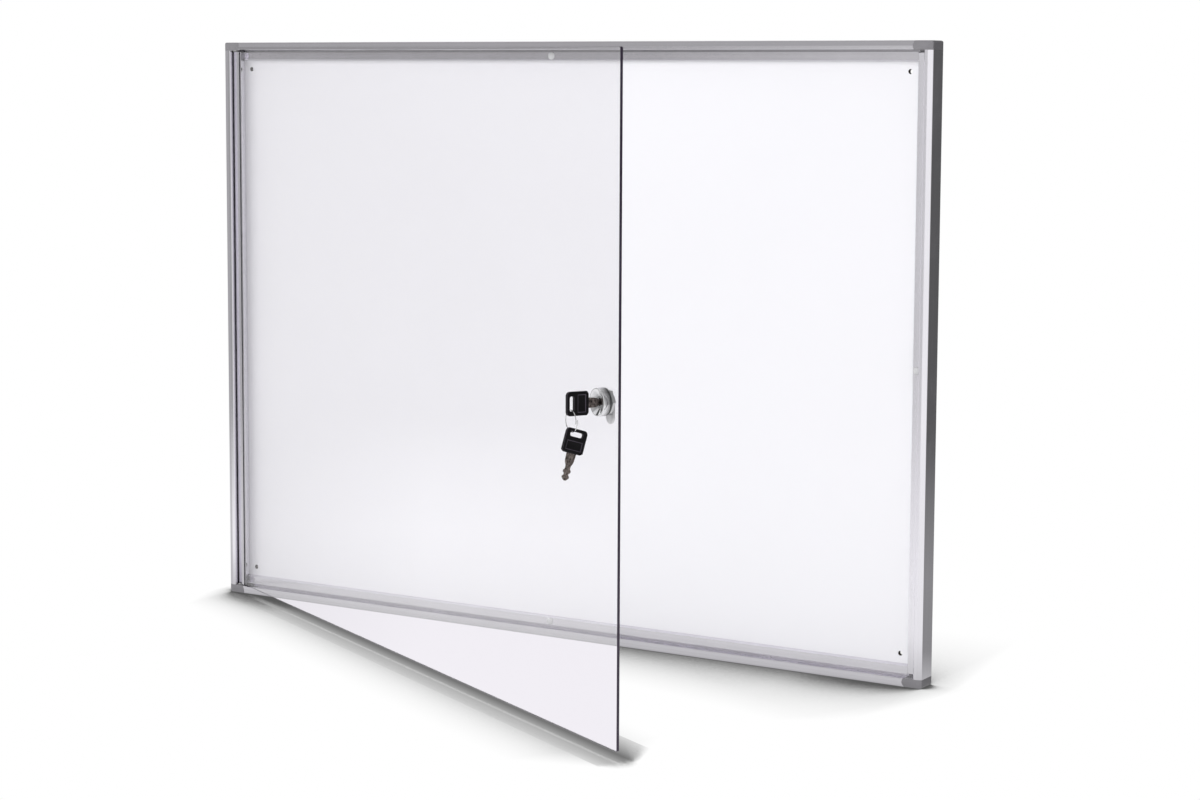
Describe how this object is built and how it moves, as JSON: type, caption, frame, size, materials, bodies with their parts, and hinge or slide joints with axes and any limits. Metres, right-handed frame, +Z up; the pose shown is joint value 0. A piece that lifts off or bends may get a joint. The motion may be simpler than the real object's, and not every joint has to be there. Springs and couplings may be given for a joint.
{
  "type": "lockable notice board",
  "caption": "Slim wall-mounted notice board case: aluminium frame with moulded corners, white magnetic panel, clear hinged door with cam lock and keys.",
  "frame": {"origin": "centre of the four wall-fixing holes, on the rear face of the panel; the wall is 5 mm behind it, at y = +0.005", "axes": "+X to the right along the width seen from the front, +Y into the wall, +Z up"},
  "size_m": [0.97, 0.4943, 0.7],
  "materials": {
    "satin_aluminium": "satin anodised",
    "cap_grey": "fine matt",
    "white_steel": "smooth white coat",
    "core": "pressed fibre",
    "back_foil": "dull",
    "clear_rubber": "clear gloss",
    "nylon": "natural",
    "pin_steel": "ground",
    "screw_zinc": "zinc plated",
    "strip_rubber": "matt",
    "clear_sheet": "clear polished",
    "lock_chrome": "polished",
    "lock_steel": "zinc plated",
    "washer_plastic": "matt",
    "wafer_brass": "stamped",
    "key_black": "fine matt",
    "key_nickel": "nickel plated"
  },
  "bodies": {
    "frame": {"top_rail": "satin_aluminium", "bottom_rail": "satin_aluminium", "left_stile": "satin_aluminium", "right_stile": "satin_aluminium", "corner_cap_top_left": "cap_grey", "corner_cap_top_right": "cap_grey", "corner_cap_bottom_left": "cap_grey", "corner_cap_bottom_right": "cap_grey", "corner_screws": "screw_zinc", "steel_face_sheet": "white_steel", "core_board": "core", "back_sheet": "back_foil", "bumpers": "clear_rubber", "hinge_bush_top": "nylon", "hinge_bush_bottom": "nylon"},
    "door": {"hinge_profile": "satin_aluminium", "hinge_pin_top": "pin_steel", "hinge_pin_bottom": "pin_steel", "glazing_strips": "strip_rubber", "door_sheet": "clear_sheet", "lock_housing": "lock_chrome", "front_washer": "washer_plastic", "rear_washer": "lock_steel", "lock_nut": "lock_steel"},
    "lock_plug": {"lock_plug": "lock_chrome", "lock_wafers": "wafer_brass", "cam": "lock_steel", "cam_nut": "lock_steel"},
    "key": {"key_head": "key_black", "key_blade": "key_nickel"},
    "ring": {"key_ring": "key_nickel"},
    "spare_key": {"spare_key_head": "key_black", "spare_key_blade": "key_nickel"}
  },
  "joints": [
    {"name": "door_hinge", "type": "hinge", "parent": "frame", "child": "door", "pos_m": [-0.4718, -0.0155, 0], "axis": [0, 0, -1], "range_deg": [-27.8, 62.2]},
    {"name": "lock_turn", "type": "hinge", "parent": "door", "child": "lock_plug", "pos_m": [0.34202, -0.44628, 0], "axis": [-0.4664, -0.8846, 0], "range_deg": [0, 90]},
    {"name": "key_slide", "type": "slide", "parent": "lock_plug", "child": "key", "axis": [-0.4664, -0.8846, 0], "range_m": [0, 0.03]},
    {"name": "ring_swing", "type": "hinge", "parent": "key", "child": "ring", "pos_m": [0.32458, -0.47936, -0.0095], "axis": [-0.4664, -0.8846, 0], "range_deg": [-90, 90]},
    {"name": "spare_key_swing", "type": "hinge", "parent": "ring", "child": "spare_key", "pos_m": [0.32478, -0.47898, -0.027], "axis": [0.8846, -0.4664, 0], "range_deg": [-60, 60]}
  ]
}
